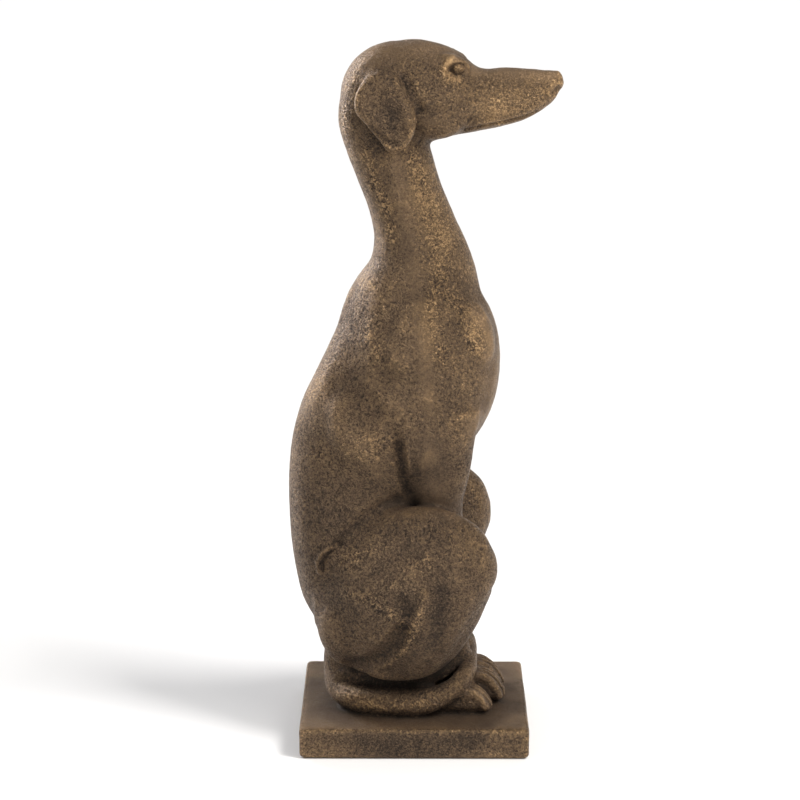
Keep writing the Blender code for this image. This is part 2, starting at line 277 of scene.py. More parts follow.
# The folded ear as level sections: height, back, front, distance out and half the thickness
EAR = (
    (964, -46, -27, 36, 6),
    (955, -66, -21, 42, 9),
    (940, -79, -16, 49, 10),
    (922, -86, -8, 54, 10),
    (904, -84, 1, 56, 9),
    (886, -69, 2, 58, 9),
    (868, -54, -4, 58, 8),
    (853, -42, -15, 57, 7),
    (846, -35, -24, 56, 4),
)

# How squarely a surface has to face the side before the lines on the flank show, from not at all to fully
FLANK_FACING = (0.1, 0.45)
# Lines carved or raised on both flanks, in the side view: points, width, and height (a groove is below 0)
FLANK_LINES = (
    # Over the thigh
    (((-26, 338), (-44, 331), (-64, 319), (-88, 299), (-114, 275)), 13, -3),
    # Behind the upper arm, and up towards the shoulder
    (((-25, 440), (-23, 422), (-20, 402)), 13, -1.5),
    (((-23, 426), (-21, 405), (-17, 378), (-13, 360), (-10, 350)), 11, -4),
    (((-62, 478), (-40, 452), (-32, 420), (-26, 370)), 34, -2),
    # At the base of the neck, and behind the shoulder
    (((42, 666), (66, 649), (90, 628)), 26, -3),
    (((-89, 629), (-95, 591), (-100, 550), (-98, 512), (-76, 470)), 40, -4),
    # Between the thigh and the shank, and a soft hollow on the thigh
    (((-13, 182), (-12, 190), (-16, 202)), 14, -2),
    (((-94, 80), (-70, 92), (-52, 106), (-36, 124), (-24, 142), (-17, 156)), 19, -6.5),
    (((38, 228), (37, 192), (33, 160), (27, 129)), 17, -1.5),
    (((-4, 272), (-40, 247), (-71, 209)), 26, -2),
    # The ridge that runs down the neck into the shoulder, and soft swellings of the flank
    (((-38, 836), (-23, 800), (-11, 765), (-3, 727), (4, 690), (12, 640), (20, 590), (22, 500)), 24, 2.5),
    (((-58, 582), (-28, 552)), 30, 2),
    (((-142, 490), (-128, 450), (-116, 414)), 34, 1.5),
    # The edge of the shank
    (((14, 216), (8, 192), (1, 160), (-14, 124), (-36, 98), (-58, 82)), 12, 3),
    # The upper arm's back edge, and the front of the breast
    (((-11, 412), (-8, 392), (-1, 368)), 9, 1.5),
    (((104, 585), (115, 559), (118, 519), (109, 475), (90, 446)), 9, 1.0),
    # The hooked fold of skin behind the thigh: its rim, and the groove inside it
    (((-115, 268), (-129, 260), (-139, 249), (-143.5, 237), (-141, 223)), 5.5, 3.2),
    (((-108, 272), (-120, 262), (-130, 251), (-136, 240), (-136, 230)), 5.5, -2.6),
)

# The face, drawn in the side view. Its lines end where the ears begin, between these distances out
FACE_OUT = (48, 52)
EYE_CENTRE = (61.0, 962.3)
EYE_HALF_WIDTH = 16.5
UPPER_LID = 10.4
LOWER_LID = 9.4
SOCKET_DEPTH = 3.4
EYEBALL = (8.8, 7.8)
EYEBALL_HEIGHT = 4.6
LID_HEIGHT = 0.5
# The almond's power along the eye, the socket's edge in it, and the lid's place and width round it
ALMOND_POWER = 1.25
SOCKET_EDGE = (0.6, 1.05)
LID_PLACE = 1.22
LID_WIDTH = 0.35
FACE_LINES = (
    # The corner of the brow behind the eye, the brow over it, and the swelling below it
    (((51, 977), (44, 971), (39, 963), (40, 955)), 7, 3.0),
    (((42, 988), (52, 985), (63, 980), (71, 973), (77, 965)), 7, 0.9),
    (((46, 950), (56, 947), (68, 946)), 8, 0.8),
    # The mouth, and the lip above it
    (((70, 874), (98, 880.5), (126, 885.5), (154, 892), (172, 899)), 3.6, -2.4),
    (((80, 882), (119, 890), (150, 899), (172, 907)), 8, 0.7),
    # The crease behind the nose, and the wing and the slit of the nostril
    (((183, 936), (182, 926), (186, 915)), 5, -0.5),
    (((187, 925), (189, 934), (194, 940)), 5, 0.9),
    (((195, 926), (201, 932)), 6.5, -3.2),
    # A small dimple on the cheek
    (((83, 918), (85, 917)), 6, -1.3),
    # The fall from the cheek to the jaw
    (((36, 905), (60, 890), (100, 892)), 14, -1.2),
)
# The groove under the nose: its width and depth, and where it shows by facing, distance forward and height
PHILTRUM = (2.6, -1.4)
PHILTRUM_FACING = (0.4, 0.8)
PHILTRUM_FORWARD = 190
PHILTRUM_UP = (905, 915)

# The ear's face and the undercut before it, by how squarely they face the side and by distance out
EAR_FACING = (0.3, 0.65)
EAR_OUT = (45, 52)
UNDERCUT_FACING = (0.1, 0.4)
UNDERCUT_OUT = (50, 54)
# The ear in the side view: its whole outline, and the lines raised or sunk on its face
EAR_OUTLINE = (
    (-27, 962),
    (-56, 957),
    (-75, 948),
    (-84, 939),
    (-86, 922),
    (-83, 908),
    (-72, 892),
    (-61, 878),
    (-47, 862),
    (-38, 851),
    (-26, 848),
    (-14, 854),
    (-4, 873),
    (0, 888),
    (-1, 902),
    (-8, 923),
    (-17, 946),
)
EAR_LINES = (
    # The rolled front edge, the lobe and the thin back edge
    (((-26, 957), (-22, 942), (-15, 928), (-9, 914), (-6, 901), (-8, 886)), 11, 2.2),
    (((-6, 882), (-10, 870), (-18, 859), (-31, 853), (-42, 858)), 7, 2.2),
    (((-58, 885), (-70, 898), (-80, 912), (-82, 926), (-78, 938)), 5, 0.7),
    # The hollow and what lies behind it, and the creases at its lower end
    (((-38, 928), (-30, 906), (-26, 884)), 18, -4.0),
    (((-60, 925), (-48, 900), (-40, 880)), 20, -1.8),
    (((-62, 886), (-50, 874), (-38, 866), (-28, 864)), 5, -1.6),
    (((-16, 868), (-10, 880), (-8, 887)), 4, -1.2),
)
EAR_UNDERCUT = (((-15, 950), (-8, 936), (0, 921), (6, 908)), 13, -2.6)

# The creases between the toes: their size, and where they show by height and by facing up
TOE_CREASE_WIDTH = 3.2
TOE_CREASE_DEPTH = 1.6
TOE_CREASE_LENGTH = 34
TOE_CREASE_LOW = 2
TOE_CREASE_HIGH = 60
TOE_CREASE_FACING = (-0.4, 0.1)

# The casting's own unevenness: wavelength and height of each layer
CAST_WAVES = ((46, 0.3), (17, 0.25), (7, 0.25))

# The patina's shading, from the form alone: rounds of smoothing, and how far a point stands off the smoothed
# surface where a hollow or a worn crest starts and is full, in figure units
FINE_ROUNDS = 5
BROAD_ROUNDS = 60
FINE_HOLLOW = (0.05, 0.9)
BROAD_HOLLOW = (0.3, 3.5)
BROAD_HOLLOW_SHARE = 0.8
FINE_WORN = (0.06, 0.7)
BROAD_WORN = (1.0, 5.0)
BROAD_WORN_SHARE = 0.3
# Rays that look for cover over each point, for the painted shade of closed-in places, and their reach and
# start in metres
PAINTED_SHADE_RAYS = 48
PAINTED_SHADE_REACH = 0.11
PAINTED_SHADE_START = 0.002
PAINTED_SHADE_ROUNDS = 25
# The plinth's top is smoother: how level it has to be, and how near the top in figure units
PLINTH_TOP_LEVEL = (0.85, 0.97)
PLINTH_TOP_WITHIN = 4
PLINTH_TOP_SMOOTH = 0.85

# Painted shade in recesses and under overhangs, and painted highlights on lit places where the amount is
# below 0, in the side view: points, width and amount
PAINTED_SHADE_AND_HIGHLIGHTS = (
    (((-42, 940), (-36, 905), (-30, 870)), 50, 0.4),
    (((-33, 913), (-28, 892)), 20, 0.6),
    (((-14, 950), (-4, 932), (6, 908)), 17, 0.35),
    (((-64, 868), (-52, 848)), 22, 0.6),
    (((-90, 620), (-98, 550), (-80, 470)), 50, 0.35),
    (((-24, 430), (-12, 350)), 34, 0.4),
    (((30, 440), (40, 340)), 60, 0.35),
    (((50, 200), (0, 120), (-60, 80)), 60, 0.2),
    (((-100, 60), (-60, 48), (0, 46), (45, 60), (70, 108)), 18, 0.8),
    (((-14, 196), (-12, 178)), 22, 0.5),
    (((38, 222), (35, 192), (33, 150)), 18, 0.6),
    (((-117, 100), (-92, 86), (-63, 100)), 18, 0.5),
    (((110, 905), (190, 925)), 42, -0.75),
    (((70, 930), (110, 905)), 50, -0.3),
    (((30, 830), (62, 730)), 34, -0.5),
    (((4, 812), (18, 760), (33, 712)), 30, -0.6),
    (((0, 242), (32, 200)), 30, -0.35),
    (((57, 965), (71, 965)), 10, -0.4),
    (((46, 974), (40, 962), (42, 952), (60, 946)), 10, -1.1),
    (((-110, 30), (-60, 20), (5, 20)), 24, -0.4),
    (((34, 62), (52, 88)), 16, 1.6),
    (((64, 900), (80, 880)), 24, 0.3),
)

# Where the high grains are worn to gold, partly as painted highlights, and the pits are coarse: points, width
# and how much
RUBBED_GOLD_AND_HIGHLIGHTS = (
    (((-9, 847), (5, 809), (15, 778), (32, 723), (39, 685), (30, 653)), 20, 1.0),
    (((24, 634), (32, 595), (37, 560)), 15, 0.7),
    (((49, 643), (66, 625), (83, 595), (89, 569)), 20, 1.0),
    (((-69, 847), (-63, 816), (-49, 782), (-34, 740), (-31, 723)), 15, 0.8),
    (((-68, 591), (-52, 556)), 30, 0.5),
    (((44, 950), (62, 944)), 13, 0.8),
    (((4, 952), (14, 930)), 22, 0.6),
    (((-150, 430), (-120, 400), (-60, 420)), 40, 0.3),
    (((-102, 200), (-58, 196), (-28, 176), (-18, 162)), 17, 0.8),
    (((-58, 218), (-28, 228), (15, 264)), 20, 0.6),
    (((14, 216), (8, 192), (1, 160), (-14, 124), (-40, 94)), 14, 0.7),
    (((-100, 250), (-60, 270)), 30, 0.6),
    (((-100, 30), (-40, 22), (20, 30), (60, 50)), 22, 0.5),
)

# Places worn or cast smoother, in the side view: points, width and how smooth
SMOOTH_PLACES = (
    (((-60, 985), (0, 999), (50, 988)), 34, 0.8),
    (((86, 962), (195, 954)), 24, 0.9),
    (((-24, 834), (-14, 748), (2, 632), (14, 540), (22, 470)), 20, 0.5),
    (((90, 610), (116, 555), (112, 500), (90, 446)), 26, 0.7),
    (((20, 430), (30, 350)), 42, 0.6),
    (((-40, 330), (20, 338), (60, 330)), 22, 0.7),
    (((96, 40), (106, 20)), 26, 0.5),
)

# The patina's colours, from the bottom of a pit to bare gold
PATINA = (
    (0.0, (0.022, 0.015, 0.010)),
    (0.25, (0.058, 0.038, 0.024)),
    (0.5, (0.138, 0.089, 0.052)),
    (0.75, (0.250, 0.158, 0.080)),
    (1.0, (0.52, 0.33, 0.16)),
)

# The noises of the cast skin: scale, detail, roughness and distortion
NOISES = {
    "zones": (13, 2, 0.5, 0.0),
    "patches": (26, 3, 0.55, 0.0),
    "fine": (440, 2.5, 0.6, 0.9),
    "coarse": (280, 2.5, 0.5, 1.2),
    "grain": (900, 2, 0.6, 0.0),
    "winding": (300, 2, 0.55, 1.0),
}

# Smooth ramps on a noise, on a mark or on the height in metres: from, to, and the values there if not 0 and 1
RAMPS = {
    "zones": (0.44, 0.6),
    "cracks": (0.008, 0.05, 1.0, 0.0),
    "fine share": (0, 1, 1.0, 0.5),
    "coarse share": (0, 1, 0.15, 0.8),
    "fine crest": (0.52, 0.6),
    "coarse crest": (0.52, 0.6),
    "fine pit": (0.39, 0.45, 1.0, 0.0),
    "coarse pit": (0.37, 0.43, 1.0, 0.0),
    # Crests worn to gold, partly painted highlights
    "gold": (0.5, 0.6),
    # Painted shade on the plinth's upright faces
    "painted_plinth_side_shade": (0.028, 0.036, 1.0, 0.0),
    # Painted shade low on the figure, by height
    "below the chest": (0.26, 0.40, 1.0, 0.0),
    "above the feet": (0.07, 0.14, 0.45, 1.0),
    "above the plinth": (0.037, 0.045),
    # Painted shade where the figure closes in over a point
    "painted_occlusion_shade": (0.25, 0.9),
    "roughness": (0.15, 0.8, 0.62, 0.34),
}

# The tone picks the colour. It is this level and the sum of these shares, in this order
TONE_LEVEL = 0.53
TONE_SHARES = {
    "grain": 0.35,
    "patches": 0.32,
    "fine crest": 0.22,
    "coarse crest": 0.2,
    "fine pit": -0.22,
    "coarse pit": -0.28,
    "cracks": -0.1,
    "worn": 0.2,
    "hollow": -0.22,
    # Painted shade where the figure closes in over a point
    "painted_occlusion_shade": -0.26,
    # Painted shade in recesses, and painted highlights where the amount is below 0
    "painted_shade_and_highlight": -0.22,
    # Painted shade low on the figure
    "low": -0.13,
    # Painted shade on the plinth's upright faces
    "painted_plinth_side_shade": -0.05,
    "smooth": 0.04,
    # Crests worn to gold, partly painted highlights
    "gold": 0.22,
}
# The middle of a noise, and how much coarser the pits are where the skin is rubbed
NOISE_MIDDLE = 0.5
RUBBED_COARSE = 0.6
METALLIC = 0.6
# The skin's relief: its height in metres, and the shares of the noises beside the coarse one
RELIEF_HEIGHT = 0.0055
FINE_RELIEF = 0.6
CRACK_RELIEF = 0.25
GRAIN_RELIEF = 0.12

FLOOR_COLOUR = (0.94, 0.94, 0.94, 1)
FLOOR_ROUGHNESS = 0.9
FLOOR_SHINE = 0.1
FLOOR_HALF_SIZE = 20
FLOOR_HEIGHT = -0.0004

# The studio's light, with angles in degrees
SKY_COLOUR = (1.0, 1.0, 1.0, 1)
SKY_STRENGTH = 0.5
SUN_POWER = 2.45
SUN_ANGLE = 18
SUN_COLOUR = (1.0, 0.975, 0.95)
SUN_WAY = (-1.0, 0.35, -1.35)
# Square lights: name, place, size, power, colour and spread
SOFT_LIGHTS = (
    ("head light", (0.8, -0.8, 1.05), 0.5, 4.0, (1.0, 0.95, 0.88), 180),
    ("rim light", (-1.3, 1.2, 1.0), 0.9, 4.2, (0.97, 0.96, 0.98), 36),
)
LIT_POINT = (0, 0, 0.5)

# The photo's camera, recovered from the plinth's edges and the outline
LENS = 94.5
SENSOR_WIDTH = 36
CLIP_END = 100
CAMERA_PLACE = (-0.0052, -2.2308, 1.0569)
CAMERA_DOWN = 16.633
CAMERA_TURN = 0.287


def smoothstep(low, high, value):
    t = np.clip((value - low) / (high - low), 0, 1)
    return t * t * (3 - 2 * t)


def bump(distance, width):
    """1 on the line, falling smoothly to 0 at width."""
    return (1 - np.clip(distance / width, 0, 1) ** 2) ** 2


def distance_to_line(points, line):
    """The distance from each point to a line of straight runs, in whatever plane both are given."""
    line = np.array(line, float)
    nearest = np.full(len(points), np.inf)
    for start, end in zip(line, line[1:]):
        run = end - start
        t = np.clip((points - start) @ run / (run @ run), 0, 1)
        nearest = np.minimum(nearest, np.linalg.norm(points - start - t[:, None] * run, axis=1))
    return nearest


def inside(points, outline):
    """Which points lie inside a closed outline."""
    outline = np.array(outline, float)
    within = np.zeros(len(points), bool)
    x, z = points[:, 0], points[:, 1]
    for (x0, z0), (x1, z1) in zip(outline, np.roll(outline, -1, axis=0)):
        if z0 == z1:
            continue
        crosses = (z0 > z) != (z1 > z)
        within ^= crosses & (x < (x1 - x0) * (z - z0) / (z1 - z0) + x0)
    return within


def smooth_rows(rows):
    """The rows of a table with smooth steps between them, spaced by the distance between their centres."""
    rows = np.array(rows, float)
    gaps = np.linalg.norm(np.diff(rows[:, :3], axis=0), axis=1)
    at = np.concatenate([[0.0], np.cumsum(gaps)])
    slopes = np.gradient(rows, at, axis=0)
    made = []
    for i, gap in enumerate(gaps):
        for t in np.arange(STEPS_BETWEEN_ROWS) / STEPS_BETWEEN_ROWS:
            start = (2 * t**3 - 3 * t**2 + 1) * rows[i] + (t**3 - 2 * t**2 + t) * gap * slopes[i]
            end = (3 * t**2 - 2 * t**3) * rows[i + 1] + (t**3 - t**2) * gap * slopes[i + 1]
            made.append(start + end)
    return np.array(made + [rows[-1]])


class Clay:
    """Closed masses that overlap, kept as plain points and faces until they become one mesh."""

    def __init__(self):
        self.points = []
        self.faces = []

    def add(self, points, faces):
        first = len(self.points)
        self.points.extend(points)
        self.faces.extend([first + corner for corner in face] for face in faces)

    def add_rings(self, rings):
        """A closed tube through rings of equal size, with a flat face at each end."""
        count, sides = len(rings), len(rings[0])
        faces = [range(sides)[::-1], range((count - 1) * sides, count * sides)]
        for start in range(0, (count - 1) * sides, sides):
            for i in range(sides):
                j = (i + 1) % sides
                faces.append((start + i, start + j, start + sides + j, start + sides + i))
        self.add(np.concatenate(rings).tolist(), faces)


def ring_turn():
    turn = np.linspace(0, 2 * math.pi, SWEEP_SIDES, endpoint=False)
    return np.cos(turn), np.sin(turn)


def add_sweep(clay, rows, axis=None):
    """Adds a closed tube of oval rings. A row is x, y, z, the radius in the side view, the radius across it,
    and how much narrower the ring's front is. Rings stand square to the path, or all square to axis."""
    rows = smooth_rows(rows)
    ahead = np.gradient(rows[:, :3], axis=0)
    if axis is not None:
        ahead[:] = axis
    ahead /= np.linalg.norm(ahead, axis=1, keepdims=True)
    across = np.array([0.0, 1.0, 0.0])
    cos, sin = ring_turn()
    rings = []
    for row, way in zip(rows, ahead):
        across = across - way * (across @ way)
        across /= np.linalg.norm(across)
        lift = np.cross(across, way)
        narrow = 1 - (row[5] if len(row) > 5 else 0) * cos
        rings.append(row[:3] + np.outer(cos * row[3], lift) + np.outer(sin * row[4] * narrow, across))
    clay.add_rings(rings)


def add_ball(clay, ball, side):
    """Adds an ellipsoid. Its turn is about the side view's axis, seen from the near side."""
    (x, y, z), radii, turn = ball
    tilt = np.array(Matrix.Rotation(math.radians(-turn), 3, "Y"))
    cos, sin = ring_turn()
    rings = []
    for rise in np.linspace(-0.5, 0.5, SWEEP_SIDES // 2 + 1)[1:-1] * math.pi:
        level = math.cos(rise)
        ring = np.stack([cos * level, sin * level, np.full_like(cos, math.sin(rise))], axis=1)
        rings.append((ring * radii) @ tilt.T + (x, side * y, z))
    clay.add_rings(rings)


def mirrored(rows, side):
    return [(row[0], side * row[1], *row[2:]) for row in rows]


def trunk_rows():
    rows = []
    for z, back, front, wide, keel in TRUNK:
        rows.append(((back + front) / 2, 0, z, (front - back) / 2 + TRUNK_SKIN, wide + TRUNK_SKIN, keel))
    return rows


def head_rows():
    return [(x, 0, (top + bottom) / 2, (top - bottom) / 2, wide) for x, top, bottom, wide in HEAD]


def thigh_rows(side):
    """The far knee stands a little higher than the near one."""
    rows = []
    for x, out, top, low, wide in THIGH:
        rise = FAR_KNEE_RISE * smoothstep(*FAR_KNEE_REACH, x) if side == FAR else 0
        rows.append((x, side * out, (top + low) / 2 + rise, (top - low) / 2, wide))
    return rows


def ear_rows(side):
    rows = []
    for z, back, front, out, thick in EAR:
        rows.append(((back + front) / 2, side * out, z, (front - back) / 2, thick))
    return rows


def toe_rows(toe, middle, side):
    """The four toes of one paw."""
    paw = []
    for across, back in TOES:
        y = side * (middle + across * TOE_WIDTH)
        paw.append([(x - back, y, z, radius, min(radius, TOE_MOST_RADIUS)) for x, z, radius in toe])
    return paw


def block_out():
    """The whole dog as overlapping closed masses, in figure units."""
    clay = Clay()
    add_sweep(clay, trunk_rows(), axis=(0, 0, -1))
    add_sweep(clay, head_rows(), axis=(1, 0, 0))
    add_sweep(clay, TAIL)
    add_ball(clay, SKULL, FAR)
    add_ball(clay, NOSE, FAR)
    for side in BOTH_SIDES:
        add_sweep(clay, thigh_rows(side), axis=(1, 0, 0))
        add_sweep(clay, ear_rows(side), axis=(0, 0, -1))
        for limb in (SHANK, FOLD, HIND_FOOT, FORELEG, FRONT_PAW):
            add_sweep(clay, mirrored(limb, side))
        for toe, paw in ((FRONT_TOE, FRONT_PAW), (HIND_TOE, HIND_FOOT)):
            for rows in toe_rows(toe, paw[-1][1], side):
                add_sweep(clay, rows)
        knee = KNEE if side == NEAR else FAR_KNEE
        for ball in (SHOULDER, BREAST, ELBOW, BUTTOCK, SEAT, RIBS, knee, CHEEK, BROW):
            add_ball(clay, ball, side)
    return clay


def add_plinth(clay):
    """The plinth with its rounded edges, below the figure."""
    thick = PLINTH_THICKNESS / UNIT
    size = Matrix.Diagonal((PLINTH_LENGTH / UNIT, PLINTH_WIDTH / UNIT, thick, 1))
    block = bmesh.new()
    bmesh.ops.create_cube(block, size=1, matrix=Matrix.Translation((0, 0, -thick / 2)) @ size)
    bmesh.ops.bevel(
        block,
        geom=block.edges[:],
        offset=PLINTH_ROUND / UNIT,
        segments=PLINTH_ROUND_STEPS,
        profile=0.5,
        affect="EDGES",
    )
    block.verts.index_update()
    points = [tuple(vert.co) for vert in block.verts]
    faces = [[vert.index for vert in face.verts] for face in block.faces]
    clay.add(points, faces)
    block.free()


def apply_modifiers(obj):
    graph = bpy.context.evaluated_depsgraph_get()
    mesh = bpy.data.meshes.new_from_object(obj.evaluated_get(graph))
    obj.modifiers.clear()
    old = obj.data
    obj.data = mesh
    bpy.data.meshes.remove(old)


def points_of(mesh):
    points = np.empty(len(mesh.vertices) * 3)
    mesh.vertices.foreach_get("co", points)
    return points.reshape(-1, 3)


def normals_of(mesh):
    normals = np.empty(len(mesh.vertices) * 3)
    mesh.vertices.foreach_get("normal", normals)
    return normals.reshape(-1, 3)


def edges_of(mesh):
    edges = np.empty(len(mesh.edges) * 2, np.int32)
    mesh.edges.foreach_get("vertices", edges)
    return edges.reshape(-1, 2)


def set_points(mesh, points):
    mesh.vertices.foreach_set("co", points.ravel())
    mesh.update()


class Neighbours:
    """Averages over the points that share an edge with each point."""

    def __init__(self, edges, count):
        ends = np.concatenate([edges[:, 0], edges[:, 1]])
        order = np.argsort(ends, kind="stable")
        self.others = np.concatenate([edges[:, 1], edges[:, 0]])[order]
        self.starts = np.searchsorted(ends[order], np.arange(count))
        self.shared = np.bincount(ends, minlength=count)[:, None]
        self.count = count

    def mean(self, values):
        return np.add.reduceat(values[self.others], self.starts, axis=0) / self.shared

    def spread(self, values, rounds):
        shape = values.shape
        values = values.reshape(self.count, -1)
        for _ in range(rounds):
            values = 0.5 * values + 0.5 * self.mean(values)
        return values.reshape(shape)


def fill_creases(mesh):
    """Fills hollow creases between the masses and leaves round forms nearly as they are."""
    near = Neighbours(edges_of(mesh), len(mesh.vertices))
    for _ in range(round(FILL_SPREAD / VOXEL**2)):
        points = points_of(mesh)
        step = near.mean(points) - points
        outward = np.einsum("ij,ij->i", step, normals_of(mesh)) > 0
        ears = smoothstep(*EARS_START, np.abs(points[:, 1]))
        crisp = np.maximum(ears, smoothstep(*NOSE_START, points[:, 0]))
        sharp = HEAD_SHARPNESS + (EAR_SHARPNESS - HEAD_SHARPNESS) * crisp
        soft = smoothstep(*FEET_END, points[:, 2]) * (1 - sharp * smoothstep(*HEAD_START, points[:, 2]))
        hollow = HOLLOW_FILL[0] + HOLLOW_FILL[1] * soft
        crest = CREST_FILL[0] + CREST_FILL[1] * soft
        amount = np.where(outward, hollow, crest)
        amount *= smoothstep(*PLINTH_KEPT, points[:, 2])
        set_points(mesh, points + amount[:, None] * step)


def settle(mesh):
    """Takes the remesh's small steps off the surface."""
    near = Neighbours(edges_of(mesh), len(mesh.vertices))
    for _ in range(SETTLE_ROUNDS):
        points = points_of(mesh)
        set_points(mesh, points + SETTLE_AMOUNT * (near.mean(points) - points))


def lines_height(side_view, lines):
    height = np.zeros(len(side_view))
    for line, width, amount in lines:
        height += amount * bump(distance_to_line(side_view, line), width)
    return height


def eye_height(side_view):
    """A domed eyeball in an almond socket, with a soft lid round it."""
    u, v = (side_view - EYE_CENTRE).T
    lid = np.where(v > 0, UPPER_LID, LOWER_LID)
    almond = np.abs(u / EYE_HALF_WIDTH) ** ALMOND_POWER + np.abs(v / lid) ** 2
    height = -SOCKET_DEPTH * (1 - smoothstep(*SOCKET_EDGE, almond))
    ball = (u / EYEBALL[0]) ** 2 + (v / EYEBALL[1]) ** 2
    height += EYEBALL_HEIGHT * np.sqrt(np.clip(1 - ball, 0, 1))
    return height + LID_HEIGHT * bump(np.abs(np.sqrt(almond) - LID_PLACE), LID_WIDTH)


def ear_height(points, normals):
    """The ear's rolled edges and its hollow, and the undercut in front of it."""
    side_view = points[:, [0, 2]]
    out = np.abs(points[:, 1])
    face = smoothstep(*EAR_FACING, np.abs(normals[:, 1])) * smoothstep(*EAR_OUT, out)
    height = face * inside(side_view, EAR_OUTLINE) * lines_height(side_view, EAR_LINES)
    beside = (1 - smoothstep(*UNDERCUT_OUT, out)) * smoothstep(*UNDERCUT_FACING, np.abs(normals[:, 1]))
    return height + beside * lines_height(side_view, (EAR_UNDERCUT,))


def toe_creases(points, normals):
    """Deepens the creases between the toes of each paw."""
    height = np.zeros(len(points))
    low_and_up = smoothstep(*TOE_CREASE_FACING, normals[:, 2])
    low_and_up = low_and_up * (points[:, 2] < TOE_CREASE_HIGH) * (points[:, 2] > TOE_CREASE_LOW)
    for toe, paw in ((FRONT_TOE, FRONT_PAW), (HIND_TOE, HIND_FOOT)):
        tip, middle = toe[-1][0] + toe[-1][2], paw[-1][1]
        for side in BOTH_SIDES:
            for gap in (-1, 0, 1):
                y = side * (middle + gap * TOE_WIDTH)
                distance = distance_to_line(points[:, :2], ((tip - TOE_CREASE_LENGTH, y), (tip, y)))
                height -= TOE_CREASE_DEPTH * low_and_up * bump(distance, TOE_CREASE_WIDTH)
    return height


def cast_waves(points):
    """Smooth unevenness in layers, each with its own wavelength."""
    height = np.zeros(len(points))
    for layer, (wavelength, amount) in enumerate(CAST_WAVES):
        shift = Vector((31.0 * layer, 17.0, 5.0))
        height += amount * np.array([noise.noise(Vector(point) / wavelength + shift) for point in points])
    return height


def carve(mesh):
    """Moves the surface along its normals, out for a ridge and in for a groove."""
    points = points_of(mesh)
    normals = normals_of(mesh)
    side_view = points[:, [0, 2]]
    flank = smoothstep(*FLANK_FACING, np.abs(normals[:, 1]))
    height = flank * lines_height(side_view, FLANK_LINES)
    head = points[:, 2] > HEAD_START[0]
    not_ear = 1 - smoothstep(*FACE_OUT, np.abs(points[head, 1]))
    face_height = lines_height(side_view[head], FACE_LINES) + eye_height(side_view[head])
    height[head] += flank[head] * not_ear * face_height
    height[head] += ear_height(points[head], normals[head])
    width, amount = PHILTRUM
    facing = smoothstep(*PHILTRUM_FACING, normals[:, 0]) * (points[:, 0] > PHILTRUM_FORWARD)
    facing = facing * smoothstep(*PHILTRUM_UP, points[:, 2])
    height += amount * facing * bump(np.abs(points[:, 1]), width)
    height += toe_creases(points, normals)
    height += cast_waves(points)
    # The underside stays flat
    bottom = -PLINTH_THICKNESS / UNIT
    height *= smoothstep(bottom + UNCARVED[0], bottom + UNCARVED[1], points[:, 2])
    set_points(mesh, points + height[:, None] * normals)


def mark_plain_surface(obj):
    """A vertex group that is 1 on the plain body, which can lose the most triangles."""
    points = points_of(obj.data)
    head = smoothstep(*HEAD_START, points[:, 2])
    feet = (1 - smoothstep(*FEET_END, points[:, 2])) * smoothstep(*FEET_START, points[:, 2])
    plain = 1 - DETAIL_SHARE * np.maximum(head, feet)
    group = obj.vertex_groups.new(name="plain surface")
    for index, weight in enumerate(plain):
        group.add((index,), float(weight), "REPLACE")
    return group


def rays_over_half_a_ball(count):
    """Directions spread evenly over the upper half of a ball."""
    steps = np.arange(count) + 0.5
    up = 1 - steps / count
    turn = math.pi * (1 + math.sqrt(5)) * steps
    level = np.sqrt(1 - up**2)
    return np.stack([np.cos(turn) * level, np.sin(turn) * level, up], axis=1)


def painted_occlusion_shade(points, near):
    """How much each point is closed in, for the painted shade of closed-in places, measured at the plain
    solid's own points and spread from there.
    """
    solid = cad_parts[NODE].data
    solid.calc_loop_triangles()
    places = points_of(solid)
    normals = normals_of(solid)
    tree = BVHTree.FromPolygons(places.tolist(), [tuple(face.vertices) for face in solid.loop_triangles])
    rays = rays_over_half_a_ball(PAINTED_SHADE_RAYS)
    closed = np.zeros(len(places))
    for i, (place, normal) in enumerate(zip(places, normals)):
        turn = Vector((0, 0, 1)).rotation_difference(Vector(normal)).to_matrix()
        start = Vector(place) + PAINTED_SHADE_START * Vector(normal)
        for ray in rays:
            way = turn @ Vector(ray)
            closed[i] += tree.ray_cast(start, way, PAINTED_SHADE_REACH)[0] is not None
    finder = kdtree.KDTree(len(places))
    for i, place in enumerate(places):
        finder.insert(place, i)
    finder.balance()
    nearest = np.array([finder.find(point)[1] for point in points])
    return near.spread(closed[nearest] / PAINTED_SHADE_RAYS, PAINTED_SHADE_ROUNDS)


def store(mesh, name, values):
    mesh.attributes.new(name, "FLOAT", "POINT").data.foreach_set("value", values.astype(np.float32))


